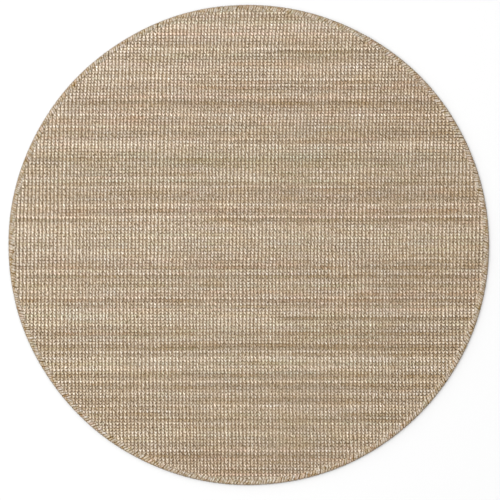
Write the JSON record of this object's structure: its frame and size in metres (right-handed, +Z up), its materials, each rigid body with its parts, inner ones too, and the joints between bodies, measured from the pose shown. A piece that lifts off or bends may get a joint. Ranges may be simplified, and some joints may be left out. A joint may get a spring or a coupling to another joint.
{
  "type": "round jute rug",
  "caption": "Round flat-woven rug of undyed jute: a thin ribbed disc with its cut rim whipped over in jute yarn, lying flat on the floor.",
  "frame": {"origin": "middle of the rug's underside, on the floor", "axes": "+Z up out of the ribbed face; the warp ribs run along Y and the weft picks along X"},
  "size_m": [1.5002, 1.4988, 0.0104],
  "materials": {
    "jute_cloth": "undyed jute yarn in a ribbed bead weave, matt, with pale, olive, pinkish and brown streaks along the weft",
    "jute_whipping": "undyed jute yarn sewn over and over the rim, matt, a little warmer than the cloth"
  },
  "bodies": {
    "root": {"woven_field": "jute_cloth", "whipped_edge": "jute_whipping"}
  },
  "joints": []
}
